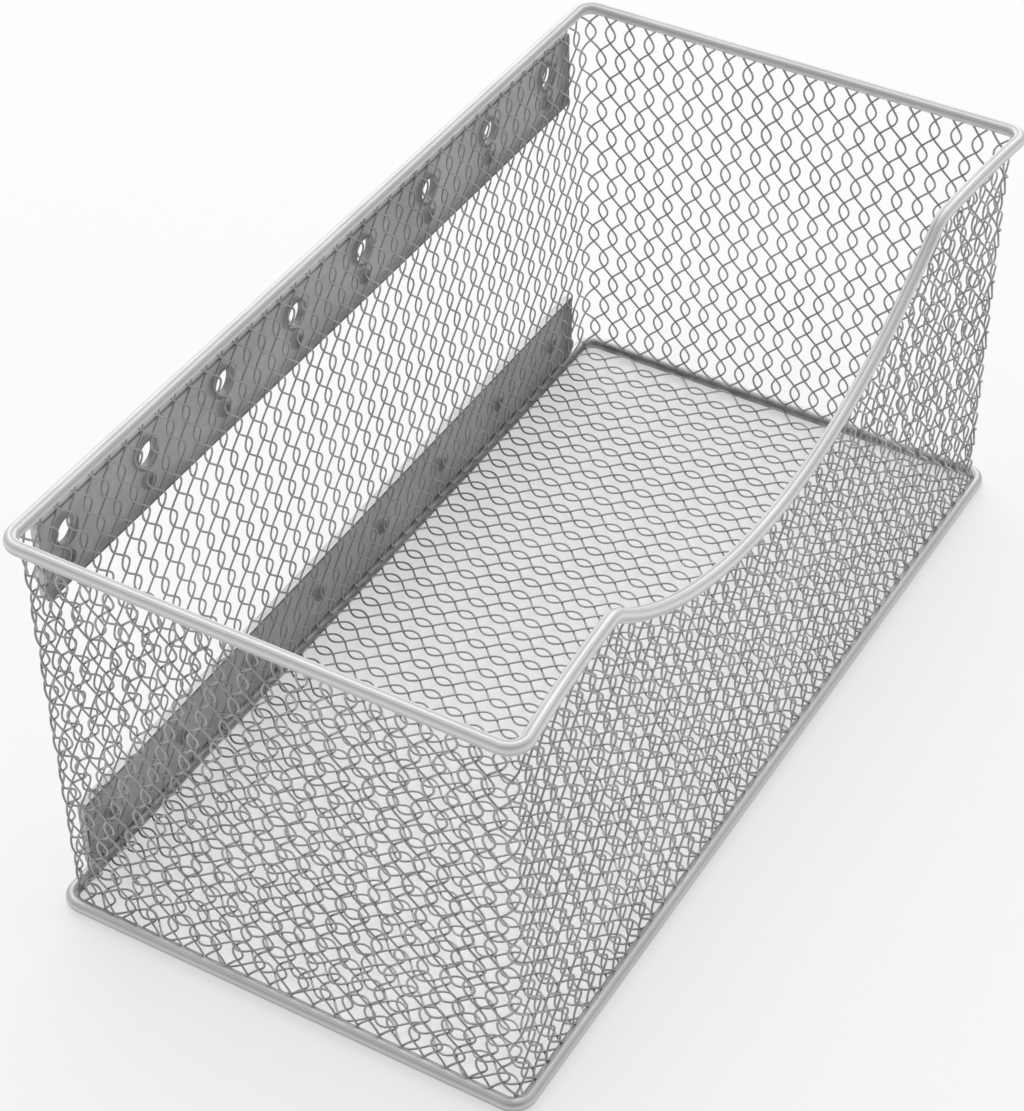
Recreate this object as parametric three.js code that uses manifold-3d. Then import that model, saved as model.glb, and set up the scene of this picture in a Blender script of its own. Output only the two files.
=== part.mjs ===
// An open wire-mesh storage basket: a round-wire rim with a scooped front, a round-wire base ring,
// four mesh walls, a mesh floor, and two folded sheet strips outside the back wall.
// Millimetres, +Z up. X runs along the length and the scooped front faces -Y.
// The origin is at the centre of the base, on the surface that the basket stands on.
import * as THREE from "three";
import { mergeVertices } from "three/addons/utils/BufferGeometryUtils.js";
import Module from "manifold-3d";

const wasm = await Module();
wasm.setup();

// Overall size, over the rim wire.
const LENGTH = 304;
const DEPTH = 154;
const HEIGHT = 136;

// The rim and the base ring are bent from the same wire. The ring's back run lies further in than the
// rim's, and the back mesh leans out from it.
const FRAME_WIRE = 4;
const FRAME_CORNER = 5;
const BASE_BACK_INSET = 2;

// The front rim dips in one long arc between two rounded shoulders, and is drawn inwards.
const SCOOP_LENGTH = 194;
const SCOOP_DEPTH = 37;
const SHOULDER_RADIUS = 9;
const FRONT_BOW = 4.4;

// Mesh walls and floor: two hooked wires thick, set a little inside the frame wires.
const MESH_WIRE = 0.7;
const MESH_STRAND = 1.6;
const MESH_INSET = 2;
const LONG_WALL_COLUMNS = 16;
const END_WALL_COLUMNS = 8;
const WALL_ROWS = 3;
const FLOOR_ROWS = 3;

// Strips outside the back mesh, folded from sheet as shallow trays that open towards the mesh, with rows
// of holes in their flat backs.
const STRIP_LENGTH = 276;
const STRIP_DEPTH = 3;
const STRIP_SHEET = 1;
const UPPER_STRIP_HEIGHT = 26.5;
const UPPER_STRIP_GAP = 1.3;
const LOWER_STRIP_HEIGHT = 24;
const HOLE_COUNT = 8;
const HOLE_PITCH = 36;
const LARGE_HOLE = 8;
const LARGE_HOLE_DROP = 10.5;
const SMALL_HOLE = 3;
const SMALL_HOLE_DROP = 20;
const LOWER_HOLE_RISE = 10;

// Room between pieces that touch on the real basket.
const CLEARANCE = 0.3;

// Facets.
const WIRE_SIDES = 12;
const CORNER_STEPS = 6;
const SHOULDER_STEPS = 4;
const SCOOP_STEPS = 22;
const FLAT_STEPS = 3;
const LARGE_HOLE_SIDES = 16;
const SMALL_HOLE_SIDES = 10;
const BOW_POWER = 4;
const SMALLEST_GAP_SHARE = 0.07;

// Places that follow from the sizes.
const wireRadius = FRAME_WIRE / 2;
const halfLength = LENGTH / 2 - wireRadius;
const halfDepth = DEPTH / 2 - wireRadius;
const baseBack = halfDepth - BASE_BACK_INSET;
const rimHeight = HEIGHT - wireRadius;
const ringHeight = wireRadius;
const seat = wireRadius + CLEARANCE;
const meshThickness = 2 * MESH_WIRE;
const wallTop = rimHeight - seat;
const wallBottom = ringHeight + seat;
const longWallHalf = halfLength - MESH_INSET + meshThickness / 2;
const endWallHalf = halfDepth - MESH_INSET - meshThickness / 2 - CLEARANCE;

// The scoop's arc, and the shoulders that lead from it to the level ends of the front rim.
const scoopRadius = ((SCOOP_LENGTH / 2) ** 2 + SCOOP_DEPTH ** 2) / (2 * SCOOP_DEPTH);
const scoopCentre = rimHeight - SCOOP_DEPTH + scoopRadius;
const shoulderCentre = rimHeight - SHOULDER_RADIUS;
const shoulderReach = scoopRadius + SHOULDER_RADIUS;
const shoulderX = Math.sqrt(shoulderReach ** 2 - (scoopCentre - shoulderCentre) ** 2);
const scoopLean = Math.asin(shoulderX / shoulderReach);

const rimSteel = new THREE.MeshStandardMaterial({ color: 0xc6c8ca, metalness: 0.9, roughness: 0.35 });
const meshSteel = new THREE.MeshStandardMaterial({ color: 0x8c8f92, metalness: 0.85, roughness: 0.45 });
const stripSteel = new THREE.MeshStandardMaterial({ color: 0x727476, metalness: 0.4, roughness: 0.6 });

// Points on a circle from one angle to another, both ends included.
function arcPoints(x, y, radius, from, to, steps) {
  const points = [];
  for (let i = 0; i <= steps; i++) {
    const angle = from + ((to - from) * i) / steps;
    points.push(new THREE.Vector2(x + radius * Math.cos(angle), y + radius * Math.sin(angle)));
  }
  return points;
}

// How far the front rim is drawn inwards at x.
function bowAt(x) {
  const share = Math.min(Math.abs(x) / (halfLength - FRAME_CORNER), 1);
  return FRONT_BOW * (1 - share ** BOW_POWER);
}

// How far in the back mesh lies at a height, from its place at the rim.
function leanAt(z) {
  return (BASE_BACK_INSET * (rimHeight - z)) / (rimHeight - ringHeight);
}

// The scooped front edge as (x, z) points from -end to +end, moved down square to itself by drop.
function scoopedEdge(end, drop) {
  const up = Math.PI / 2;
  const shoulder = SHOULDER_RADIUS - drop;
  const left = [];
  for (let i = 0; i < FLAT_STEPS; i++) {
    left.push(new THREE.Vector2(-end + ((end - shoulderX) * i) / FLAT_STEPS, rimHeight - drop));
  }
  left.push(...arcPoints(-shoulderX, shoulderCentre, shoulder, up, up - scoopLean, SHOULDER_STEPS));
  const right = left.map((p) => new THREE.Vector2(-p.x, p.y)).reverse();
  const dip = arcPoints(0, scoopCentre, scoopRadius + drop, -up - scoopLean, -up + scoopLean, SCOOP_STEPS);
  return [...left, ...dip.slice(1, -1), ...right];
}

// Height of the front rim's centreline at x.
function frontRimHeight(x) {
  const out = Math.abs(x);
  if (out >= shoulderX) return rimHeight;
  if (out <= scoopRadius * Math.sin(scoopLean)) return scoopCentre - Math.sqrt(scoopRadius ** 2 - out ** 2);
  return shoulderCentre + Math.sqrt(SHOULDER_RADIUS ** 2 - (shoulderX - out) ** 2);
}

// One corner of the frame's centreline, seen from above, turning left. The long run beside it lies at edge.
function frameCorner(signX, edge, from) {
  const x = signX * (halfLength - FRAME_CORNER);
  const y = edge - Math.sign(edge) * FRAME_CORNER;
  return arcPoints(x, y, FRAME_CORNER, from, from + Math.PI / 2, CORNER_STEPS);
}

// A closed loop of round wire through the points, which run anticlockwise seen from above.
// A flat of the section faces straight down, so that a level loop stands on it.
function wireLoop(points) {
  const up = new THREE.Vector3(0, 0, 1);
  const positions = [];
  const index = [];
  const count = points.length;
  const cornerRadius = wireRadius / Math.cos(Math.PI / WIRE_SIDES);
  points.forEach((point, i) => {
    const before = points[(i + count - 1) % count];
    const after = points[(i + 1) % count];
    const along = point.clone().sub(before).normalize();
    along.add(after.clone().sub(point).normalize()).normalize();
    const out = along.clone().cross(up).normalize();
    const over = out.clone().cross(along);
    for (let k = 0; k < WIRE_SIDES; k++) {
      const angle = ((k + 0.5) * 2 * Math.PI) / WIRE_SIDES;
      const vertex = point.clone();
      vertex.addScaledVector(out, cornerRadius * Math.cos(angle));
      vertex.addScaledVector(over, cornerRadius * Math.sin(angle));
      positions.push(vertex.x, vertex.y, vertex.z);
      const here = i * WIRE_SIDES;
      const there = ((i + 1) % count) * WIRE_SIDES;
      const side = (k + 1) % WIRE_SIDES;
      index.push(here + k, there + k, here + side, there + k, there + side, here + side);
    }
  });
  const geometry = new THREE.BufferGeometry();
  geometry.setAttribute("position", new THREE.Float32BufferAttribute(positions, 3));
  geometry.setIndex(index);
  return geometry;
}

// The frame's centreline: front edge given, then the right end, the back run and the left end.
function frameLoop(front, back, height) {
  const level = (p) => new THREE.Vector3(p.x, p.y, height);
  return [
    ...frameCorner(-1, -halfDepth, -Math.PI).slice(0, -1).map(level),
    ...front,
    ...frameCorner(1, -halfDepth, -Math.PI / 2).slice(1).map(level),
    ...frameCorner(1, back, 0).map(level),
    ...frameCorner(-1, back, Math.PI / 2).map(level),
  ];
}

function topRim() {
  const edge = scoopedEdge(halfLength - FRAME_CORNER, 0);
  const front = edge.map((p) => new THREE.Vector3(p.x, bowAt(p.x) - halfDepth, p.y));
  return wireLoop(frameLoop(front, halfDepth, rimHeight));
}

function baseRing() {
  const end = halfLength - FRAME_CORNER;
  const front = [-end, end].map((x) => new THREE.Vector3(x, -halfDepth, ringHeight));
  return wireLoop(frameLoop(front, baseBack, ringHeight));
}

// The part of a convex outline on the inner side of a straight line: normal . point <= limit.
function clipOutline(outline, normal, limit) {
  const kept = [];
  outline.forEach((point, i) => {
    const next = outline[(i + 1) % outline.length];
    const here = normal.dot(point) - limit;
    const there = normal.dot(next) - limit;
    if (here <= 0) kept.push(point);
    if (here * there < 0) kept.push(point.clone().lerp(next, here / (here - there)));
  });
  return kept;
}

// The gaps of a net that fills a rectangle about the origin: tall diamonds in staggered rows,
// cut off square at the edges, and at the extra cut where one is given.
function netGaps(width, height, columns, rows, extraCut) {
  const pitch = width / columns;
  const rise = height / rows;
  const slant = Math.hypot(pitch, rise);
  const halfWide = (pitch - (MESH_STRAND * slant) / rise) / 2;
  const halfTall = (rise - (MESH_STRAND * slant) / pitch) / 2;
  const right = new THREE.Vector2(1, 0);
  const top = new THREE.Vector2(0, 1);
  const cuts = [
    [right, width / 2],
    [right.clone().negate(), width / 2],
    [top, height / 2],
    [top.clone().negate(), height / 2],
  ];
  const gaps = [];
  for (let row = 0; row <= 2 * rows; row++) {
    const shift = (row % 2) / 2;
    for (let column = 0; column + shift <= columns; column++) {
      const x = (column + shift) * pitch - width / 2;
      const y = (row * rise) / 2 - height / 2;
      const corners = [
        [halfWide, 0],
        [0, halfTall],
        [-halfWide, 0],
        [0, -halfTall],
      ];
      let gap = corners.map(([dx, dy]) => new THREE.Vector2(x + dx, y + dy));
      const here = extraCut ? [...cuts, extraCut(x, y)] : cuts;
      for (const [normal, limit] of here) {
        gap = clipOutline(gap, normal, limit);
      }
      const least = SMALLEST_GAP_SHARE * 2 * halfWide * halfTall;
      if (gap.length > 2 && THREE.ShapeUtils.area(gap) > least) gaps.push(gap);
    }
  }
  return gaps;
}

// A flat outline drawn out to a solid of the given thickness about z = 0.
function slab(outline, thickness) {
  const shape = new THREE.Shape(outline);
  const geometry = new THREE.ExtrudeGeometry(shape, { depth: thickness, bevelEnabled: false });
  geometry.translate(0, 0, -thickness / 2);
  geometry.deleteAttribute("normal");
  geometry.deleteAttribute("uv");
  const merged = mergeVertices(geometry);
  const vertProperties = merged.getAttribute("position").array;
  const triVerts = new Uint32Array(merged.index.array);
  return new wasm.Manifold(new wasm.Mesh({ numProp: 3, vertProperties, triVerts }));
}

// What is left of a solid when the cutters are taken out of it.
function cutSolid(solid, cutters) {
  const cut = wasm.Manifold.difference([solid, ...cutters]).getMesh();
  const geometry = new THREE.BufferGeometry();
  geometry.setAttribute("position", new THREE.BufferAttribute(cut.vertProperties, 3));
  geometry.setIndex(new THREE.BufferAttribute(cut.triVerts, 1));
  return geometry;
}

// A flat sheet of the given thickness about z = 0, with holes cut through it.
function sheet(outline, holes, thickness) {
  const cutters = holes.map((hole) => slab(hole, 2 * thickness));
  return cutSolid(slab(outline, thickness), cutters);
}

function rectangle(width, height) {
  const x = width / 2;
  const y = height / 2;
  const corners = [
    [-x, -y],
    [x, -y],
    [x, y],
    [-x, y],
  ];
  return corners.map(([cx, cy]) => new THREE.Vector2(cx, cy));
}

// A flat, upright mesh wall, lying in XZ with its outer face along Y.
function meshWall(width, columns) {
  const height = wallTop - wallBottom;
  const edge = 2 * MESH_STRAND;
  const gaps = netGaps(width - edge, height - edge, columns, WALL_ROWS);
  const geometry = sheet(rectangle(width, height), gaps, meshThickness);
  return geometry.rotateX(Math.PI / 2).translate(0, 0, (wallTop + wallBottom) / 2);
}

// Moves a wall's points in with the leaning back, the more the nearer they are to it.
function leanWall(geometry) {
  const position = geometry.getAttribute("position");
  for (let i = 0; i < position.count; i++) {
    const y = position.getY(i);
    const share = Math.min((y + endWallHalf) / (2 * endWallHalf), 1);
    position.setY(i, y - share * leanAt(position.getZ(i)));
  }
  return geometry;
}

function backMesh() {
  const geometry = meshWall(2 * longWallHalf, LONG_WALL_COLUMNS);
  return leanWall(geometry.translate(0, halfDepth - MESH_INSET, 0));
}

function endMesh(side) {
  const geometry = meshWall(2 * endWallHalf, END_WALL_COLUMNS);
  geometry.rotateZ(Math.PI / 2).translate(side * (halfLength - MESH_INSET), 0, 0);
  return leanWall(geometry);
}

// The front wall ends under the scooped rim and leans inwards with it, straight up from the base ring.
function frontMesh() {
  const width = 2 * longWallHalf;
  const height = wallTop - wallBottom;
  const middle = (wallTop + wallBottom) / 2;
  const edge = 2 * MESH_STRAND;
  const underScoop = (x, y) => {
    const below = scoopCentre - middle - y;
    const angle = THREE.MathUtils.clamp(Math.atan2(x, below), -scoopLean, scoopLean);
    const normal = new THREE.Vector2(-Math.sin(angle), Math.cos(angle));
    return [normal, (scoopCentre - middle) * normal.y - scoopRadius - seat - MESH_STRAND];
  };
  const gaps = netGaps(width - edge, height - edge, LONG_WALL_COLUMNS, WALL_ROWS, underScoop);
  const upper = scoopedEdge(longWallHalf, seat).map((p) => new THREE.Vector2(p.x, p.y - middle));
  const outline = [
    new THREE.Vector2(-longWallHalf, -height / 2),
    new THREE.Vector2(longWallHalf, -height / 2),
    ...upper.reverse(),
  ];
  const geometry = sheet(outline, gaps, meshThickness);
  geometry.rotateX(Math.PI / 2).translate(0, MESH_INSET - halfDepth, middle);
  const position = geometry.getAttribute("position");
  for (let i = 0; i < position.count; i++) {
    const x = position.getX(i);
    const share = (position.getZ(i) - ringHeight) / (frontRimHeight(x) - ringHeight);
    position.setY(i, position.getY(i) + bowAt(x) * share);
  }
  return geometry;
}

// The floor fills the base ring, with its wires running front to back.
function floorMesh() {
  const width = 2 * (halfLength - seat);
  const depth = halfDepth + baseBack - 2 * seat;
  const corner = FRAME_CORNER - seat;
  const edge = 2 * MESH_STRAND;
  const outline = [];
  for (let quarter = 0; quarter < 4; quarter++) {
    const from = (quarter * Math.PI) / 2;
    const x = (quarter === 0 || quarter === 3 ? 1 : -1) * (width / 2 - corner);
    const y = (quarter < 2 ? 1 : -1) * (depth / 2 - corner);
    outline.push(...arcPoints(x, y, corner, from, from + Math.PI / 2, CORNER_STEPS));
  }
  const gaps = netGaps(width - edge, depth - edge, LONG_WALL_COLUMNS, FLOOR_ROWS);
  return sheet(outline, gaps, meshThickness).translate(0, (baseBack - halfDepth) / 2, ringHeight);
}

// A row of round holes along a strip, at height y from its middle.
function holeRow(diameter, sides, y) {
  const holes = [];
  for (let i = 0; i < HOLE_COUNT; i++) {
    const x = (i - (HOLE_COUNT - 1) / 2) * HOLE_PITCH;
    holes.push(arcPoints(x, y, diameter / 2, 0, 2 * Math.PI, sides).slice(0, -1));
  }
  return holes;
}

// A folded strip on the outside of the back mesh, with its upper edge at top.
function backStrip(height, top, holes) {
  const outer = slab(rectangle(STRIP_LENGTH, height), STRIP_DEPTH);
  const fold = 2 * STRIP_SHEET;
  const hollow = slab(rectangle(STRIP_LENGTH - fold, height - fold), STRIP_DEPTH).translate(0, 0, STRIP_SHEET);
  const geometry = cutSolid(outer, [hollow, ...holes.map((hole) => slab(hole, 2 * STRIP_DEPTH))]);
  const face = halfDepth - MESH_INSET - leanAt(top) + meshThickness / 2 + CLEARANCE;
  return geometry.rotateX(Math.PI / 2).translate(0, face + STRIP_DEPTH / 2, top - height / 2);
}

function upperStrip() {
  const top = UPPER_STRIP_HEIGHT / 2;
  const holes = [
    ...holeRow(LARGE_HOLE, LARGE_HOLE_SIDES, top - LARGE_HOLE_DROP),
    ...holeRow(SMALL_HOLE, SMALL_HOLE_SIDES, top - SMALL_HOLE_DROP),
  ];
  return backStrip(UPPER_STRIP_HEIGHT, rimHeight - wireRadius - UPPER_STRIP_GAP, holes);
}

function lowerStrip() {
  const holes = holeRow(SMALL_HOLE, SMALL_HOLE_SIDES, LOWER_HOLE_RISE - LOWER_STRIP_HEIGHT / 2);
  return backStrip(LOWER_STRIP_HEIGHT, wallBottom + LOWER_STRIP_HEIGHT, holes);
}

const basket = new THREE.Group();

function addPiece(name, geometry, material) {
  const piece = new THREE.Mesh(geometry, material);
  piece.name = name;
  basket.add(piece);
}

addPiece("top_rim", topRim(), rimSteel);
addPiece("base_ring", baseRing(), rimSteel);
addPiece("floor_mesh", floorMesh(), meshSteel);
addPiece("front_mesh", frontMesh(), meshSteel);
addPiece("back_mesh", backMesh(), meshSteel);
addPiece("left_end_mesh", endMesh(-1), meshSteel);
addPiece("right_end_mesh", endMesh(1), meshSteel);
addPiece("upper_back_strip", upperStrip(), stripSteel);
addPiece("lower_back_strip", lowerStrip(), stripSteel);

export default basket;
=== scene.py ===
"""Looks of the wire-mesh storage basket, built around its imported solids.

Metres, +Z up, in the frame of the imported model: +X along the length, the scooped front towards -Y.
"""

import math
from collections import namedtuple

import bmesh
import bpy
import numpy as np
from mathutils import Matrix, Vector


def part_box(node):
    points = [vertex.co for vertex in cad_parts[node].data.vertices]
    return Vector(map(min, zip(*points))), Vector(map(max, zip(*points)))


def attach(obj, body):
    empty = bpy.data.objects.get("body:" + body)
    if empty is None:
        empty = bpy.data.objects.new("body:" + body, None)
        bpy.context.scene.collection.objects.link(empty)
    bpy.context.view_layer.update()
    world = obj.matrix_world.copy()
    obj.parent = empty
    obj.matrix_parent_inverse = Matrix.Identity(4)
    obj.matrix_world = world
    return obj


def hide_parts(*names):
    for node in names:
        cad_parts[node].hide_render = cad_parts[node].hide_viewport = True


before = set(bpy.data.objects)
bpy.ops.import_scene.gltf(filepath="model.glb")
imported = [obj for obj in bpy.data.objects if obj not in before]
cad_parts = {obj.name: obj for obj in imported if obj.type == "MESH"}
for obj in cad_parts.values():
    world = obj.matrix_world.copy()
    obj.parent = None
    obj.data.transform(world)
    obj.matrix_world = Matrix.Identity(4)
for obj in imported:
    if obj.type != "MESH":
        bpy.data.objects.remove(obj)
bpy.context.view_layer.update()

MM = 0.001
FULL_TURN = 2 * math.pi
QUARTER_TURN = math.pi / 2
UP = (0.0, 0.0, 1.0)
BODY = "root"

# The rim and the base ring, with the scooped front edge as in the part's source.
FRAME_RADIUS = 2.0 * MM
FRAME_CORNER = 5.0 * MM
FRAME_SIDES = 28
FRAME_CORNER_STEPS = 20
FRONT_STEPS = 420
SIDE_STEPS = 24
SCOOP_LENGTH = 194.0 * MM
SCOOP_DEPTH = 37.0 * MM
SHOULDER_RADIUS = 9.0 * MM
FRONT_BOW = 4.4 * MM
BOW_POWER = 4

# The mesh: wavy wires, each hooked through its two neighbours. A wire swings to both sides by its reach,
# and in and out by the mesh's depth.
MESH_RADIUS = 0.33 * MM
MESH_SIDES = 6
MESH_DEPTH = 0.36 * MM
MESH_WAVE = 19.4 * MM
STEPS_PER_WAVE = 18
WALL_INSET = 2.0 * MM
WALL_CORNER = 4.0 * MM
WALL_REACH = 3.45 * MM
FLOOR_REACH = 3.25 * MM

# How the mesh lies on each wall and the floor, in mm, measured along it from its middle towards +X or +Y:
# the wires' pitch, one wire's place and the height of its crest, and then per 100 mm how far the crests rise,
# how far the spacing and the crests bend off, and how far a wire slants. On the floor a height is a place
# along Y.
Lay = namedtuple("Lay", "pitch first crest rise spread sag slant")
MESH_LAYS = {
    "right_end_mesh": Lay(3.51, 2.8, 1.1, -0.1, -0.5, 1.6, 1.3),
    "front_mesh": Lay(3.61, 2.0, -0.8, -1.2, -0.2, 0.1, -0.4),
    "left_end_mesh": Lay(3.6, 3.3, 1.0, -0.9, 2.2, -3.4, -0.6),
    "back_mesh": Lay(3.61, 0.9, -2.1, 0.6, -1.1, 0.7, -0.8),
    "floor_mesh": Lay(3.25, -0.4, -2.7, -1.2, 1.0, 0.8, -0.4),
}
LAY_SPAN = 100.0 * MM

# The height at which a slanted wall wire is at its place.
LAY_HEIGHT = 67.0 * MM

# The runs of the walls' outline that are whole walls. The right end is its first run and its last.
FRONT_RUN = 2
LEFT_RUN = 4
BACK_RUN = 6

# From one wall to the next the wires even out over this much of each wall's end.
CORNER_ZONE = 9.0 * MM
CORNER_PITCH = 3.55 * MM

# Near the rim and the ring the wall wires bend out to meet them, and end just inside them. The height of an
# end is found in fine steps.
TOP_TUCK = 1.5 * MM
FOOT_TUCK = 1.2 * MM
TUCK_HEIGHT = 4.5 * MM
END_SINK = 0.7 * MM
FINE_STEPS = 1200

# A point of the walls lies under the scooped rim where its inward direction goes further to +Y than this.
FRONT_FACING = 0.5

# The folded strips and their holes.
STRIP_SHEET = 1.0 * MM
STRIP_CORNER = 1.5 * MM
STRIP_CORNER_STEPS = 4
STRIP_BEND = 1.2 * MM
BEND_STEPS = 5
EDGE_BEVEL = 0.15 * MM
BEVEL_SEGMENTS = 2
BEVEL_ANGLE = math.radians(40)
COLLAR_DEPTH = 2.3 * MM
HOLE_COUNT = 8
HOLE_PITCH = 36.0 * MM
HOLE_SIDES = 48
LARGE_HOLE = 8.0 * MM
LARGE_HOLE_DROP = 10.5 * MM
SMALL_HOLE = 3.0 * MM
SMALL_HOLE_DROP = 20.0 * MM
LOWER_HOLE_RISE = 10.0 * MM

# The material slot of a strip's cut edges and holes' bores, after that of its sheet.
# Those edges are painted dark: a bare cut edge, darkened further as painted shade in the bores.
EDGE_AND_SHADE_SLOT = 1

# The bake map. A frame wire takes several rows of it and a mesh wire takes one, and each row is filled in
# part. The wires' sides take this span of the map's width, and the end caps of the mesh wires take the rest.
MAP_NAME = "OFBake"
MAP_SPAN = 0.97
MAP_FILL = 0.9
FRAME_MAP_ROWS = 8

# Where a point lies round the frame wire's section: x is outwards and y is down.
SECTION_LAYER = "section"

# The noises in the finishes: scale, detail and roughness. The grain has a scale in each finish.
BROAD_NOISE = (45.0, 2, 0.5)
LINE_NOISE = (1.15, 2, 0.6)
PATCH_NOISE = (160.0, 3, 0.6)
GRAIN_DETAIL = 3
GRAIN_ROUGHNESS = 0.6

# The broad noise and a share of the fine one, over this range, take a finish from dark to light and from
# dull to glossy. On a drawn wire the lines alone, over their own range, set the tone.
FINE_SHARE = 0.7
TONE_FROM = (0.6, 1.1)
LINES_FROM = (0.4, 0.58)
BUMP_STRENGTH = 0.5

# Painted shade on the ring's inward side, which comes in patches.
INWARD_SHADE_FROM = (-0.9, -0.1)
PATCH_FROM = (0.3, 0.65)
PATCH_LEAST = 0.45
INWARD_SHADE_COLOUR = (0.23, 0.225, 0.218, 1)

# The finishes: the darkest and lightest tone, the dullest and glossiest roughness, how far it is metal, and
# the depth of its fine noise. That noise is a grain with a scale, stretched along X, Y and Z, or where no
# grain is given, lines along a drawn wire.
EVEN = (1, 1, 1)
Finish = namedtuple("Finish", "dark light roughness metallic depth grain stretch", defaults=(None, EVEN))
RIM_FINISH = Finish(
    dark=(0.5, 0.505, 0.515, 1),
    light=(0.85, 0.855, 0.865, 1),
    roughness=(0.66, 0.52),
    metallic=0.8,
    depth=0.05 * MM,
)
# The ring's silver is darker than the rim's: painted shade on the lower wire.
SHADED_RING_FINISH = Finish(
    dark=(0.44, 0.444, 0.45, 1),
    light=(0.7, 0.705, 0.712, 1),
    roughness=(0.54, 0.4),
    metallic=0.8,
    depth=0.05 * MM,
)
MESH_FINISH = Finish(
    dark=(0.35, 0.355, 0.36, 1),
    light=(0.49, 0.495, 0.5, 1),
    roughness=(0.4, 0.3),
    metallic=0.8,
    depth=0.03 * MM,
    grain=1400,
)
STRIP_FINISH = Finish(
    dark=(0.55, 0.553, 0.557, 1),
    light=(0.665, 0.669, 0.675, 1),
    roughness=(0.58, 0.46),
    metallic=0.35,
    depth=0.03 * MM,
    grain=1100,
    stretch=(0.12, 1, 1),
)
# The cut edges are dark, and darker still as painted shade in the holes' bores.
EDGE_AND_SHADE_FINISH = Finish(
    dark=(0.24, 0.24, 0.24, 1),
    light=(0.34, 0.34, 0.34, 1),
    roughness=(0.6, 0.5),
    metallic=0.5,
    depth=0.03 * MM,
    grain=1100,
)

# The stage: a pale floor that shows white to the camera and keeps a soft part of the shadow.
FLOOR_SPAN = 12.0
FLOOR_COLOUR = (0.97, 0.97, 0.97, 1)
FLOOR_GLOW = 0.46
WHITE = (1, 1, 1, 1)

# The world's light from the camera's side, from the backdrop and from straight above, and the dark place
# round the camera.
FRONT_LIGHT = 0.58
BACK_LIGHT = 0.95
ZENITH_LIGHT = 1.07
BACKDROP_SIDE = (0.86, 0.51, 0.0)
DARK_SIDE = (-0.645, -0.384, 0.66)
DARK_FROM = (0.72, 0.95)
DARK_LEVEL = 0.45

# The lamp.
KEY_PLACE = Vector((1.8, 1.05, 2.15))
KEY_AIM = Vector((0, 0, 0.05))
KEY_SIZE = 3.4
KEY_POWER = 46

# The photograph's camera.
CAMERA_PLACE = Vector((-0.56404, -0.32066, 0.6183))
CAMERA_FORWARD = Vector((0.64556, 0.3842, -0.66003))
CAMERA_ROLL = math.radians(-0.604)
CAMERA_LENS = 95.07
SENSOR = 36.0

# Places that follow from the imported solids.
_, rim_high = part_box("top_rim")
_, ring_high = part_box("base_ring")
half_length = rim_high.x - FRAME_RADIUS
half_depth = rim_high.y - FRAME_RADIUS
rim_height = rim_high.z - FRAME_RADIUS
base_back = ring_high.y - FRAME_RADIUS
ring_height = FRAME_RADIUS
wall_x = half_length - WALL_INSET
wall_y = half_depth - WALL_INSET

scoop_radius = ((SCOOP_LENGTH / 2) ** 2 + SCOOP_DEPTH**2) / (2 * SCOOP_DEPTH)
scoop_centre = rim_height - SCOOP_DEPTH + scoop_radius
shoulder_centre = rim_height - SHOULDER_RADIUS
shoulder_reach = scoop_radius + SHOULDER_RADIUS
shoulder_x = math.sqrt(shoulder_reach**2 - (scoop_centre - shoulder_centre) ** 2)
scoop_edge = scoop_radius * shoulder_x / shoulder_reach


def bow_at(x):
    """How far the front rim is drawn inwards at x."""
    share = np.minimum(np.abs(x) / (half_length - FRAME_CORNER), 1)
    return FRONT_BOW * (1 - share**BOW_POWER)


def front_height(x):
    """Height of the front rim's centreline at x."""
    out = np.abs(x)
    dip = scoop_centre - np.sqrt(np.maximum(scoop_radius**2 - out**2, 0))
    bend = shoulder_centre + np.sqrt(np.maximum(SHOULDER_RADIUS**2 - (shoulder_x - out) ** 2, 0))
    height = np.where(out <= scoop_edge, dip, bend)
    return np.where(out >= shoulder_x, rim_height, height)


def frame_corner(sign_x, edge, start):
    """One corner of the frame's centreline seen from above, turning left from an angle, without its ends.
    The long run beside it lies at edge."""
    angles = start + np.linspace(0, QUARTER_TURN, FRAME_CORNER_STEPS + 1)[1:-1]
    x = sign_x * (half_length - FRAME_CORNER) + FRAME_CORNER * np.cos(angles)
    y = edge - math.copysign(FRAME_CORNER, edge) + FRAME_CORNER * np.sin(angles)
    return np.stack([x, y], axis=-1)


def straight(start, end, steps):
    """Even steps from start to end, with both ends."""
    share = np.linspace(0, 1, steps + 1)[:, None]
    return np.array(start) * (1 - share) + np.array(end) * share


def frame_path(scooped):
    """The rim's or the ring's closed centreline, anticlockwise seen from above."""
    back = half_depth if scooped else base_back
    side_end = half_length - FRAME_CORNER
    front_end = FRAME_CORNER - half_depth
    back_end = back - FRAME_CORNER
    runs = [
        straight((-side_end, -half_depth), (side_end, -half_depth), FRONT_STEPS),
        frame_corner(1, -half_depth, -QUARTER_TURN),
        straight((half_length, front_end), (half_length, back_end), SIDE_STEPS),
        frame_corner(1, back, 0),
        straight((side_end, back), (-side_end, back), SIDE_STEPS),
        frame_corner(-1, back, QUARTER_TURN),
        straight((-half_length, back_end), (-half_length, front_end), SIDE_STEPS),
        frame_corner(-1, -half_depth, 2 * QUARTER_TURN),
    ]
    flat = np.concatenate(runs)
    if not scooped:
        return np.column_stack([flat, np.full(len(flat), ring_height)])
    height = np.full(len(flat), rim_height)
    front = slice(0, FRONT_STEPS + 1)
    height[front] = front_height(flat[front, 0])
    flat[front, 1] += bow_at(flat[front, 0])
    return np.column_stack([flat, height])


def unit(vectors):
    """Vectors in the same directions, of length 1."""
    return vectors / np.linalg.norm(vectors, axis=-1, keepdims=True)


def unit_circle(sides):
    """Evenly spaced points of a circle of radius 1."""
    angles = np.arange(sides) * FULL_TURN / sides
    return np.stack([np.cos(angles), np.sin(angles)], axis=-1)


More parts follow.
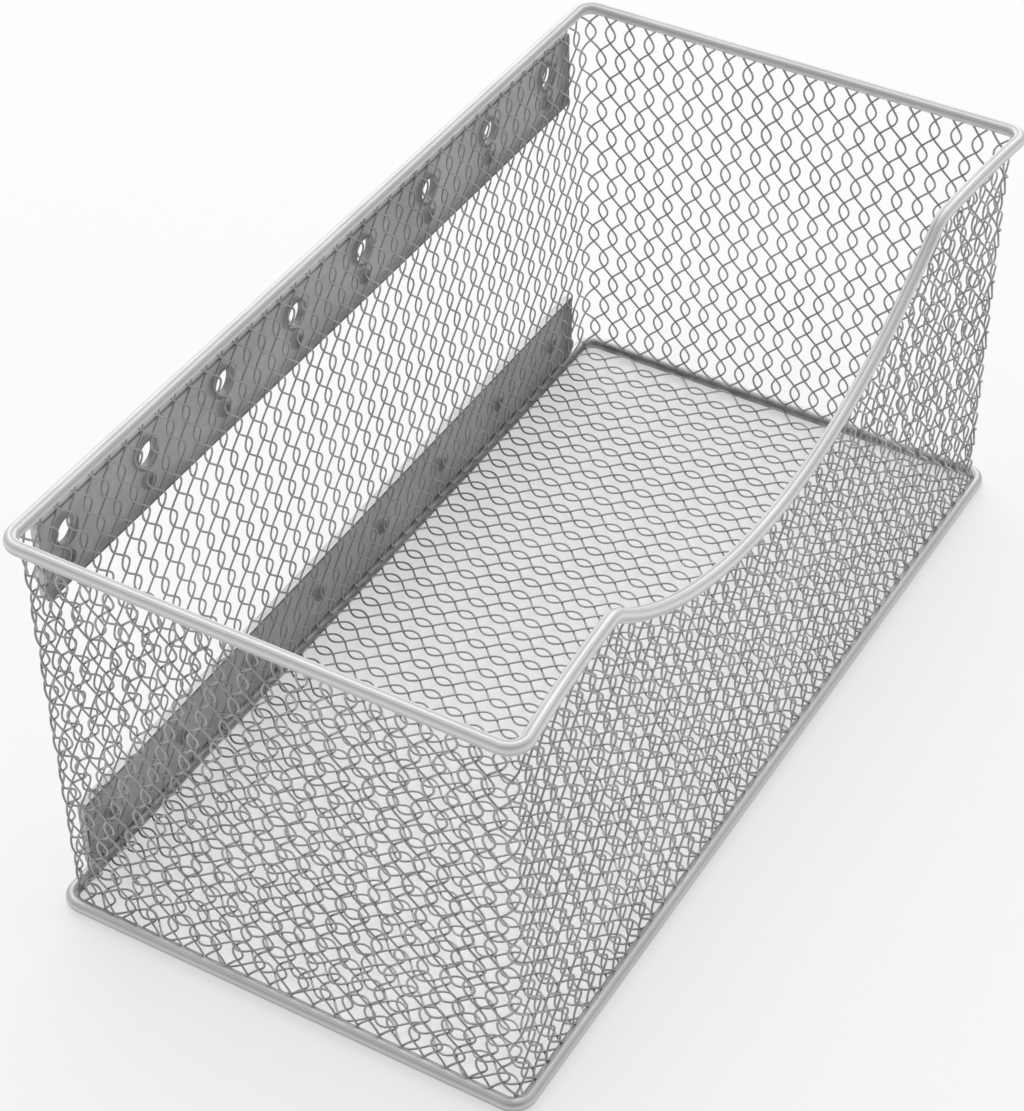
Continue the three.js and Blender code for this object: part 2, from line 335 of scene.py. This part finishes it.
def directions(points, closed):
    """The direction of a path at each of its points."""
    if closed:
        return unit(np.roll(points, -1, axis=0) - np.roll(points, 1, axis=0))
    return unit(np.gradient(points, axis=0))


def tube(points, facing, radius, sides, closed):
    """Vertices and quads of a round tube along points. facing is roughly square to the path at each point."""
    count = len(points)
    along = directions(points, closed)
    first = unit(facing - (facing * along).sum(-1, keepdims=True) * along)
    second = np.cross(along, first)
    circle_points = unit_circle(sides)
    spokes = first[:, None] * circle_points[:, :1] + second[:, None] * circle_points[:, 1:]
    vertices = (points[:, None] + radius * spokes).reshape(-1, 3)
    rows = np.arange(count if closed else count - 1)[:, None]
    here = np.arange(sides)[None]
    there = (here + 1) % sides
    after = (rows + 1) % count
    corners = [rows * sides + here, after * sides + here, after * sides + there, rows * sides + there]
    return vertices, np.stack(corners, axis=-1).reshape(-1, 4)


def tube_map(segments, sides, low, high):
    """Bake-map corners of a tube's quads: its length runs across the map, its girth from low to high."""
    row = np.repeat(np.arange(segments), sides)
    side = np.tile(np.arange(sides), segments)
    left = row / segments * MAP_SPAN
    right = (row + 1) / segments * MAP_SPAN
    lower = low + (high - low) * side / sides
    upper = low + (high - low) * (side + 1) / sides
    corners = [[left, lower], [right, lower], [right, upper], [left, upper]]
    return np.array(corners).transpose(2, 0, 1)


def new_mesh(name, vertices, faces, corners):
    """A smooth mesh with its bake map, which has a place for each corner of each face."""
    mesh = bpy.data.meshes.new(name)
    mesh.from_pydata(vertices, [], faces)
    layer = mesh.uv_layers.new(name=MAP_NAME)
    layer.data.foreach_set("uv", corners.astype(np.float32).ravel())
    mesh.shade_smooth()
    mesh.update()
    return mesh


def finish_piece(name, mesh, materials, node):
    """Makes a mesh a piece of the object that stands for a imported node."""
    for material in materials:
        mesh.materials.append(material)
    piece = bpy.data.objects.new(name, mesh)
    bpy.context.scene.collection.objects.link(piece)
    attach(piece, BODY)
    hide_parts(node)
    return piece


def frame_wire(name, scooped, material, node):
    """The rim or the ring as one smooth closed wire."""
    points = frame_path(scooped)
    facing = unit(np.cross(directions(points, True), UP))
    vertices, quads = tube(points, facing, FRAME_RADIUS, FRAME_SIDES, True)
    share = len(points) / FRAME_MAP_ROWS
    rows = (np.arange(len(points)) / share).astype(int)
    corners = []
    for row in range(FRAME_MAP_ROWS):
        segments = int((rows == row).sum())
        low = row / FRAME_MAP_ROWS
        corners.append(tube_map(segments, FRAME_SIDES, low, low + MAP_FILL / FRAME_MAP_ROWS))
    mesh = new_mesh(name, vertices.tolist(), quads.tolist(), np.concatenate(corners))
    section = np.column_stack([unit_circle(FRAME_SIDES), np.zeros(FRAME_SIDES)])
    layer = mesh.attributes.new(SECTION_LAYER, "FLOAT_VECTOR", "POINT")
    layer.data.foreach_set("vector", np.tile(section, (len(points), 1)).astype(np.float32).ravel())
    finish_piece(name, mesh, [material], node)


def wire_panel(name, wires, material, node):
    """One panel of mesh: every wire a closed tube of its own, in its own row of the bake map."""
    cap_radius = (1 - MAP_SPAN) / 4
    first_middle = MAP_SPAN + cap_radius
    last_middle = (1 + MAP_SPAN) / 2 + cap_radius
    vertices = []
    faces = []
    corners = []
    start = 0
    for number, (points, facing) in enumerate(wires):
        found, quads = tube(points, facing, MESH_RADIUS, MESH_SIDES, False)
        low = number / len(wires)
        high = low + MAP_FILL / len(wires)
        corners.append(tube_map(len(points) - 1, MESH_SIDES, low, high).reshape(-1, 2))
        faces.extend((quads + start).tolist())
        end = start + len(found)
        first_cap = list(range(start, start + MESH_SIDES))
        last_cap = list(range(end - MESH_SIDES, end))
        for cap, middle in ((first_cap[::-1], first_middle), (last_cap, last_middle)):
            faces.append(cap)
            ring = unit_circle(MESH_SIDES) * (cap_radius, (high - low) / 2)
            corners.append(ring + (middle, (low + high) / 2))
        vertices.extend(found.tolist())
        start = end
    mesh = new_mesh(name, vertices, faces, np.concatenate(corners))
    finish_piece(name, mesh, [material], node)


def ahead_of(heading):
    """The direction of a heading seen from above."""
    return np.stack([np.cos(heading), np.sin(heading)], axis=-1)


def right_of(heading):
    """The direction to the right of a heading seen from above."""
    return np.stack([np.sin(heading), -np.cos(heading)], axis=-1)


# A run of the walls' outline, which is straight or turns right round a corner.
Run = namedtuple("Run", "length start heading turns")


def outline_runs():
    """The walls' outline, clockwise seen from above from the middle of the right end back to it."""
    end = wall_y - WALL_CORNER
    side = 2 * (wall_x - WALL_CORNER)
    place = np.array([wall_x, 0.0])
    heading = -QUARTER_TURN
    runs = []
    for length in (end, side, 2 * end, side, end):
        runs.append(Run(length, place, heading, False))
        place = place + length * ahead_of(heading)
        runs.append(Run(WALL_CORNER * QUARTER_TURN, place, heading, True))
        place = place + WALL_CORNER * (right_of(heading) + ahead_of(heading))
        heading -= QUARTER_TURN
    return runs[:-1]


wall_runs = outline_runs()
run_starts = np.concatenate([[0], np.cumsum([run.length for run in wall_runs])])
outline_length = run_starts[-1]


def run_middle(number):
    """How far along the outline the middle of a run lies."""
    return (run_starts[number] + run_starts[number + 1]) / 2


def on_outline(distance):
    """Places on the walls' outline and the inward direction there."""
    distance = np.asarray(distance) % outline_length
    place = np.zeros((len(distance), 2))
    inward = np.zeros((len(distance), 2))
    for run, begin, end in zip(wall_runs, run_starts, run_starts[1:]):
        here = (distance >= begin) & (distance <= end)
        travel = distance[here] - begin
        if run.turns:
            centre = run.start + WALL_CORNER * right_of(run.heading)
            inward[here] = right_of(run.heading - travel / WALL_CORNER)
            place[here] = centre - WALL_CORNER * inward[here]
        else:
            inward[here] = right_of(run.heading)
            place[here] = run.start + travel[:, None] * ahead_of(run.heading)
    return place, inward


def smooth_step(share):
    """A soft rise from 0 to 1."""
    share = np.clip(share, 0, 1)
    return share * share * (3 - 2 * share)


def lean_in(y, height):
    """How far in the leaning back wall takes a point of the walls, the more the nearer it is to the back."""
    share = np.clip((y + wall_y) / (2 * wall_y), 0, 1)
    return (half_depth - base_back) * share * (rim_height - height) / (rim_height - ring_height)


Wire = namedtuple("Wire", "place phase slant")


def laid_wires(node, reach):
    """The wires of one wall or the floor within reach of its middle."""
    lay = Lay(*(value * MM for value in MESH_LAYS[node]))
    count = math.ceil((reach + abs(lay.spread) + lay.pitch) / lay.pitch)
    wires = []
    for number in range(-count, count + 1):
        even = lay.first + number * lay.pitch
        place = even + lay.spread * (even / LAY_SPAN) ** 2
        crest = lay.crest + lay.rise * place / LAY_SPAN + lay.sag * (place / LAY_SPAN) ** 2
        if abs(place) <= reach:
            wires.append(Wire(place, math.pi * number - FULL_TURN * crest / MESH_WAVE, lay.slant))
    return wires


def outline_wires(node, reach, middle, turned):
    """The wires of one wall, placed along the outline. They are turned round where the outline runs towards
    -X or -Y."""
    wires = laid_wires(node, reach)
    if turned:
        wires = [Wire(-wire.place, wire.phase + math.pi, -wire.slant) for wire in reversed(wires)]
    return [wire._replace(place=middle + wire.place) for wire in wires]


def corner_wires(before, after):
    """The wires between the last one of a wall and the first of the next, evenly apart in place and phase."""
    gap = after.place - before.place
    fewest = math.floor(gap / CORNER_PITCH)
    choices = []
    for steps in (fewest, fewest + 1):
        off = math.remainder(after.phase - before.phase - steps * math.pi, FULL_TURN)
        unevenness = abs(gap / steps / CORNER_PITCH - 1) + abs(off / steps / math.pi)
        choices.append((unevenness, steps, off))
    _, steps, off = min(choices)
    wires = []
    for step in range(1, steps):
        share = step / steps
        phase = before.phase + (steps * math.pi + off) * share
        slant = before.slant + (after.slant - before.slant) * share
        wires.append(Wire(before.place + gap * share, phase, slant))
    return wires


def wall_wires():
    """All wall wires, in turn round the outline."""
    end_reach = wall_runs[LEFT_RUN].length / 2 - CORNER_ZONE
    side_reach = wall_runs[FRONT_RUN].length / 2 - CORNER_ZONE
    walls = [
        outline_wires("right_end_mesh", end_reach, 0, True),
        outline_wires("front_mesh", side_reach, run_middle(FRONT_RUN), True),
        outline_wires("left_end_mesh", end_reach, run_middle(LEFT_RUN), False),
        outline_wires("back_mesh", side_reach, run_middle(BACK_RUN), False),
    ]
    first = walls[0][0]
    walls.append([first._replace(place=first.place + outline_length)])
    found = []
    for wall, after in zip(walls, walls[1:]):
        found += wall + corner_wires(wall[-1], after[0])
    return found


def wall_wire(wire):
    """One wall wire's points from the ring up to the rim, and the way that its wall faces."""

    def path(height):
        phase = FULL_TURN * height / MESH_WAVE + wire.phase
        middle = wire.place + wire.slant * (height - LAY_HEIGHT) / LAY_SPAN
        place, inward = on_outline(middle + WALL_REACH * np.cos(phase))
        top = np.where(inward[:, 1] > FRONT_FACING, front_height(place[:, 0]), rim_height)
        out = TOP_TUCK * smooth_step(1 - (top - height) / TUCK_HEIGHT)
        out += FOOT_TUCK * smooth_step(1 - (height - ring_height) / TUCK_HEIGHT)
        place = place + inward * (MESH_DEPTH * np.sin(phase) - out)[:, None]
        share = (height - ring_height) / (top - ring_height)
        place[:, 1] += bow_at(place[:, 0]) * share * np.maximum(inward[:, 1], 0)
        place[:, 1] -= lean_in(place[:, 1], height)
        points = np.column_stack([place, height])
        facing = np.column_stack([inward, np.zeros(len(height))])
        return points, facing, top

    foot = ring_height + FRAME_RADIUS - END_SINK
    heights = np.linspace(foot, rim_height, FINE_STEPS)
    _, _, top = path(heights)
    head = heights[np.argmax(heights >= top - FRAME_RADIUS + END_SINK)]
    steps = round((head - foot) / MESH_WAVE * STEPS_PER_WAVE)
    points, facing, _ = path(np.linspace(foot, head, steps + 1))
    return points, facing


def wall_of(wire):
    """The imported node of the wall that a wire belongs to."""
    _, inward = on_outline([wire.place])
    x, y = inward[0]
    if abs(x) > abs(y):
        return "left_end_mesh" if x > 0 else "right_end_mesh"
    return "front_mesh" if y > 0 else "back_mesh"


def floor_wires():
    """The points of the floor's wires, from front to back inside the ring, and the way they face."""
    inset = FRAME_RADIUS - END_SINK
    steps = round((half_depth + base_back - 2 * inset) / MESH_WAVE * STEPS_PER_WAVE)
    y = np.linspace(inset - half_depth, base_back - inset, steps + 1)
    facing = np.tile(UP, (len(y), 1))
    found = []
    for wire in laid_wires("floor_mesh", half_length - FRAME_RADIUS - FLOOR_REACH):
        phase = FULL_TURN * y / MESH_WAVE + wire.phase
        x = wire.place + wire.slant * y / LAY_SPAN + FLOOR_REACH * np.cos(phase)
        z = ring_height + MESH_DEPTH * np.sin(phase)
        found.append((np.column_stack([x, y, z]), facing))
    return found


def circle(x, z, diameter):
    """Outline of a hole in (x, z)."""
    return diameter / 2 * unit_circle(HOLE_SIDES) + (x, z)


def rounded_rectangle(low, high, inset):
    """Outline of a strip in (x, z) with rounded corners, moved in by inset."""
    radius = STRIP_CORNER - inset
    left = low.x + STRIP_CORNER
    right = high.x - STRIP_CORNER
    bottom = low.z + STRIP_CORNER
    top = high.z - STRIP_CORNER
    points = []
    for number, (x, z) in enumerate([(right, top), (left, top), (left, bottom), (right, bottom)]):
        for angle in np.linspace(0, QUARTER_TURN, STRIP_CORNER_STEPS + 1) + number * QUARTER_TURN:
            points.append((x + radius * math.cos(angle), z + radius * math.sin(angle)))
    return points


def new_loop(shape, points, y):
    """Vertices through (x, z) points at one y, and the edges that close them to a loop."""
    corners = [shape.verts.new((x, y, z)) for x, z in points]
    edges = []
    for number, corner in enumerate(corners):
        edges.append(shape.edges.new((corner, corners[(number + 1) % len(corners)])))
    return corners, edges


def join_loops(shape, first, second):
    """The faces of a band between two loops of as many vertices."""
    faces = []
    for number, corner in enumerate(first):
        after = (number + 1) % len(first)
        faces.append(shape.faces.new((corner, second[number], second[after], first[after])))
    return faces


def strip_mesh(name, low, high, rows):
    """A strip's outer skin: its folded edge, its flat back and a collar in each hole, whose rows are given by
    diameter and height."""
    shape = bmesh.new()
    fold = [(0.0, low.y)]
    for turn in np.linspace(QUARTER_TURN, 0, BEND_STEPS + 1):
        fold.append((STRIP_BEND * (1 - math.sin(turn)), high.y - STRIP_BEND * (1 - math.cos(turn))))
    outer = None
    for inset, y in fold:
        inner, back_edges = new_loop(shape, rounded_rectangle(low, high, inset), y)
        if outer:
            join_loops(shape, outer, inner)
        outer = inner
    # The flat back fills what lies between the last of these loops and the mouths of the holes.
    for diameter, z in rows:
        for number in range(HOLE_COUNT):
            x = (number - (HOLE_COUNT - 1) / 2) * HOLE_PITCH
            mouth, mouth_edges = new_loop(shape, circle(x, z, diameter), high.y)
            collar_end, _ = new_loop(shape, circle(x, z, diameter), high.y - COLLAR_DEPTH)
            # The bores take the cut edges' dark material, as painted shade inside the holes.
            for face in join_loops(shape, mouth, collar_end):
                face.material_index = EDGE_AND_SHADE_SLOT
            back_edges += mouth_edges
    filled = bmesh.ops.triangle_fill(shape, use_beauty=True, edges=back_edges)["geom"]
    bmesh.ops.recalc_face_normals(shape, faces=shape.faces[:])
    back = next(part for part in filled if isinstance(part, bmesh.types.BMFace))
    if back.normal.y < 0:
        bmesh.ops.reverse_faces(shape, faces=shape.faces[:])
    mesh = bpy.data.meshes.new(name)
    shape.to_mesh(mesh)
    shape.free()
    return mesh


def tray(name, node, rows, materials):
    """A strip folded from sheet as a shallow tray that opens towards the mesh, with rows of holes. The sheet
    turns in at each hole as a short collar."""
    low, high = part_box(node)
    piece = finish_piece(name, strip_mesh(name, low, high, rows), materials, node)
    # The sheet lies inside the skin. Its rims and the holes' bores are dark: cut edges and painted shade.
    sheet = piece.modifiers.new("sheet", "SOLIDIFY")
    sheet.thickness = STRIP_SHEET
    sheet.offset = -1
    sheet.use_even_offset = True
    sheet.material_offset = -EDGE_AND_SHADE_SLOT
    sheet.material_offset_rim = EDGE_AND_SHADE_SLOT
    bevel = piece.modifiers.new("edges", "BEVEL")
    bevel.width = EDGE_BEVEL
    bevel.segments = BEVEL_SEGMENTS
    bevel.limit_method = "ANGLE"
    bevel.angle_limit = BEVEL_ANGLE


class Nodes:
    """Short ways to add and join shader nodes."""

    def __init__(self, tree):
        self.tree = tree
        tree.nodes.clear()

    def add(self, kind, **values):
        node = self.tree.nodes.new(kind)
        for name, value in values.items():
            setattr(node, name, value)
        return node

    def feed(self, value, target):
        """Joins a node's output to an input, or sets the input to a plain value."""
        if isinstance(value, bpy.types.NodeSocket):
            self.tree.links.new(value, target)
        else:
            target.default_value = value

    def feed_named(self, node, **values):
        """Feeds a node's inputs, named here in small letters and with underscores."""
        for name, value in values.items():
            self.feed(value, node.inputs[name.replace("_", " ").title()])

    def math(self, operation, *values):
        node = self.add("ShaderNodeMath", operation=operation)
        for value, target in zip(values, node.inputs):
            self.feed(value, target)
        return node.outputs["Value"]

    def vector_math(self, operation, vector, other):
        node = self.add("ShaderNodeVectorMath", operation=operation)
        self.feed(vector, node.inputs[0])
        self.feed(other, node.inputs[1])
        return node

    def split(self, vector, axis):
        node = self.add("ShaderNodeSeparateXYZ")
        self.feed(vector, node.inputs["Vector"])
        return node.outputs[axis]

    def noise(self, vector, scale, detail, roughness):
        node = self.add("ShaderNodeTexNoise")
        self.feed_named(node, vector=vector, scale=scale, detail=detail, roughness=roughness)
        return node.outputs["Fac"]

    def map_range(self, value, low, high, to_low, to_high):
        node = self.add("ShaderNodeMapRange")
        self.feed_named(node, value=value, from_min=low, from_max=high, to_min=to_low, to_max=to_high)
        return node.outputs["Result"]

    def mix(self, kind, share, first, second):
        node = self.add("ShaderNodeMix", data_type=kind)
        self.feed_named(node, factor=share, a=first, b=second)
        return node.outputs["Result"]

    def section(self):
        """Where a point lies round the frame wire's section."""
        return self.add("ShaderNodeAttribute", attribute_name=SECTION_LAYER).outputs["Vector"]


def new_material(name):
    """An empty material, its nodes and its output node."""
    material = bpy.data.materials.new(name)
    material.use_nodes = True
    nodes = Nodes(material.node_tree)
    return material, nodes, nodes.add("ShaderNodeOutputMaterial")


def with_inward_shade(nodes, place, colour):
    """A frame wire's colour with patchy painted shade on its inward side."""
    inward = nodes.map_range(nodes.split(nodes.section(), "X"), *INWARD_SHADE_FROM, 1, 0)
    patches = nodes.map_range(nodes.noise(place, *PATCH_NOISE), *PATCH_FROM, PATCH_LEAST, 1)
    return nodes.mix("RGBA", nodes.math("MULTIPLY", inward, patches), colour, INWARD_SHADE_COLOUR)


def metal(name, finish, painted_shade=False):
    """A coated metal: tone and gloss vary with a broad and a fine noise, and the fine one gives its texture.
    One given painted shade is darker on its inward side, in patches."""
    material, nodes, output = new_material(name)
    shader = nodes.add("ShaderNodeBsdfPrincipled")
    place = nodes.add("ShaderNodeTexCoord").outputs["Object"]
    broad = nodes.noise(place, *BROAD_NOISE)
    if finish.grain:
        stretched = nodes.vector_math("MULTIPLY", place, finish.stretch).outputs["Vector"]
        fine = nodes.noise(stretched, finish.grain, GRAIN_DETAIL, GRAIN_ROUGHNESS)
        blend = nodes.math("MULTIPLY_ADD", fine, FINE_SHARE, broad)
        tone = nodes.map_range(blend, *TONE_FROM, 0, 1)
    else:
        fine = nodes.noise(nodes.section(), *LINE_NOISE)
        blend = nodes.math("MULTIPLY_ADD", fine, FINE_SHARE, broad)
        tone = nodes.map_range(fine, *LINES_FROM, 0, 1)
    colour = nodes.mix("RGBA", tone, finish.dark, finish.light)
    # Painted shade: the ring's inward side is darkened, in patches.
    if painted_shade:
        colour = with_inward_shade(nodes, place, colour)
    gloss = nodes.map_range(blend, *TONE_FROM, *finish.roughness)
    relief = nodes.add("ShaderNodeBump")
    nodes.feed_named(relief, strength=BUMP_STRENGTH, distance=finish.depth, height=fine)
    nodes.feed_named(shader, base_color=colour, roughness=gloss, metallic=finish.metallic)
    nodes.feed_named(shader, normal=relief.outputs["Normal"])
    nodes.feed_named(output, surface=shader.outputs["BSDF"])
    return material


def stage_floor():
    """A wide floor that shows in part as plain white to the camera and in reflections."""
    corners = [
        (-FLOOR_SPAN, -FLOOR_SPAN, 0),
        (FLOOR_SPAN, -FLOOR_SPAN, 0),
        (FLOOR_SPAN, FLOOR_SPAN, 0),
        (-FLOOR_SPAN, FLOOR_SPAN, 0),
    ]
    mesh = bpy.data.meshes.new("studio_floor")
    mesh.from_pydata(corners, [], [(0, 1, 2, 3)])
    material, nodes, output = new_material("studio_floor")
    diffuse = nodes.add("ShaderNodeBsdfDiffuse")
    nodes.feed_named(diffuse, color=FLOOR_COLOUR)
    glow = nodes.add("ShaderNodeEmission")
    nodes.feed_named(glow, color=WHITE)
    path = nodes.add("ShaderNodeLightPath")
    seen = path.outputs["Is Camera Ray"]
    for ray in ("Is Glossy Ray", "Is Transmission Ray"):
        seen = nodes.math("MAXIMUM", seen, path.outputs[ray])
    mix = nodes.add("ShaderNodeMixShader")
    nodes.feed_named(mix, fac=nodes.math("MULTIPLY", seen, FLOOR_GLOW))
    nodes.feed(diffuse.outputs["BSDF"], mix.inputs[1])
    nodes.feed(glow.outputs["Emission"], mix.inputs[2])
    nodes.feed_named(output, surface=mix.outputs["Shader"])
    mesh.materials.append(material)
    floor = bpy.data.objects.new("studio_floor", mesh)
    bpy.context.scene.collection.objects.link(floor)


def studio_world():
    """Soft light from above and from a bright backdrop, with a darker room on the camera's side and a dark
    place round the camera itself."""
    world = bpy.data.worlds.new("studio")
    world.use_nodes = True
    nodes = Nodes(world.node_tree)
    output = nodes.add("ShaderNodeOutputWorld")
    background = nodes.add("ShaderNodeBackground")
    direction = nodes.add("ShaderNodeTexCoord").outputs["Generated"]
    facing = nodes.vector_math("DOT_PRODUCT", direction, BACKDROP_SIDE).outputs["Value"]
    around = nodes.map_range(facing, -1, 1, FRONT_LIGHT, BACK_LIGHT)
    level = nodes.mix("FLOAT", nodes.split(direction, "Z"), around, ZENITH_LIGHT)
    behind = nodes.vector_math("DOT_PRODUCT", direction, DARK_SIDE).outputs["Value"]
    shade = nodes.map_range(behind, *DARK_FROM, 1, DARK_LEVEL)
    nodes.feed_named(background, strength=nodes.math("MULTIPLY", level, shade))
    nodes.feed_named(output, surface=background.outputs["Background"])
    bpy.context.scene.world = world


def key_light():
    """One large, soft lamp, high up beyond the far back corner."""
    data = bpy.data.lights.new("soft_key", "AREA")
    data.size = KEY_SIZE
    data.energy = KEY_POWER
    light = bpy.data.objects.new("soft_key", data)
    light.location = KEY_PLACE
    light.rotation_euler = (KEY_AIM - KEY_PLACE).to_track_quat("-Z", "Y").to_euler()
    bpy.context.scene.collection.objects.link(light)


def photo_camera():
    """The camera, where the photograph's was."""
    data = bpy.data.cameras.new("camera")
    data.lens = CAMERA_LENS
    data.sensor_width = SENSOR
    camera = bpy.data.objects.new("camera", data)
    turn = CAMERA_FORWARD.to_track_quat("-Z", "Y").to_matrix().to_4x4()
    camera.matrix_world = Matrix.Translation(CAMERA_PLACE) @ turn @ Matrix.Rotation(CAMERA_ROLL, 4, "Z")
    bpy.context.scene.collection.objects.link(camera)
    bpy.context.scene.camera = camera


rim_metal = metal("silver_rim", RIM_FINISH)
# The ring carries painted shade on its inward side.
shaded_ring_metal = metal("shaded_silver_ring", SHADED_RING_FINISH, True)
mesh_metal = metal("silver_mesh", MESH_FINISH)
strip_metals = [metal("grey_strip", STRIP_FINISH), metal("cut_edge_and_shade", EDGE_AND_SHADE_FINISH)]

frame_wire("top_rim_wire", True, rim_metal, "top_rim")
frame_wire("base_ring_wire", False, shaded_ring_metal, "base_ring")

panels = {}
for wire in wall_wires():
    panels.setdefault(wall_of(wire), []).append(wall_wire(wire))
panels["floor_mesh"] = floor_wires()
for panel, wires in panels.items():
    wire_panel(panel + "_wires", wires, mesh_metal, panel)

_, upper_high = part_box("upper_back_strip")
upper_rows = [
    (LARGE_HOLE, upper_high.z - LARGE_HOLE_DROP),
    (SMALL_HOLE, upper_high.z - SMALL_HOLE_DROP),
]
tray("upper_strip_tray", "upper_back_strip", upper_rows, strip_metals)
lower_low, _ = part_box("lower_back_strip")
lower_rows = [(SMALL_HOLE, lower_low.z + LOWER_HOLE_RISE)]
tray("lower_strip_tray", "lower_back_strip", lower_rows, strip_metals)

stage_floor()
studio_world()
key_light()
photo_camera()
bpy.context.scene.view_settings.view_transform = "Standard"
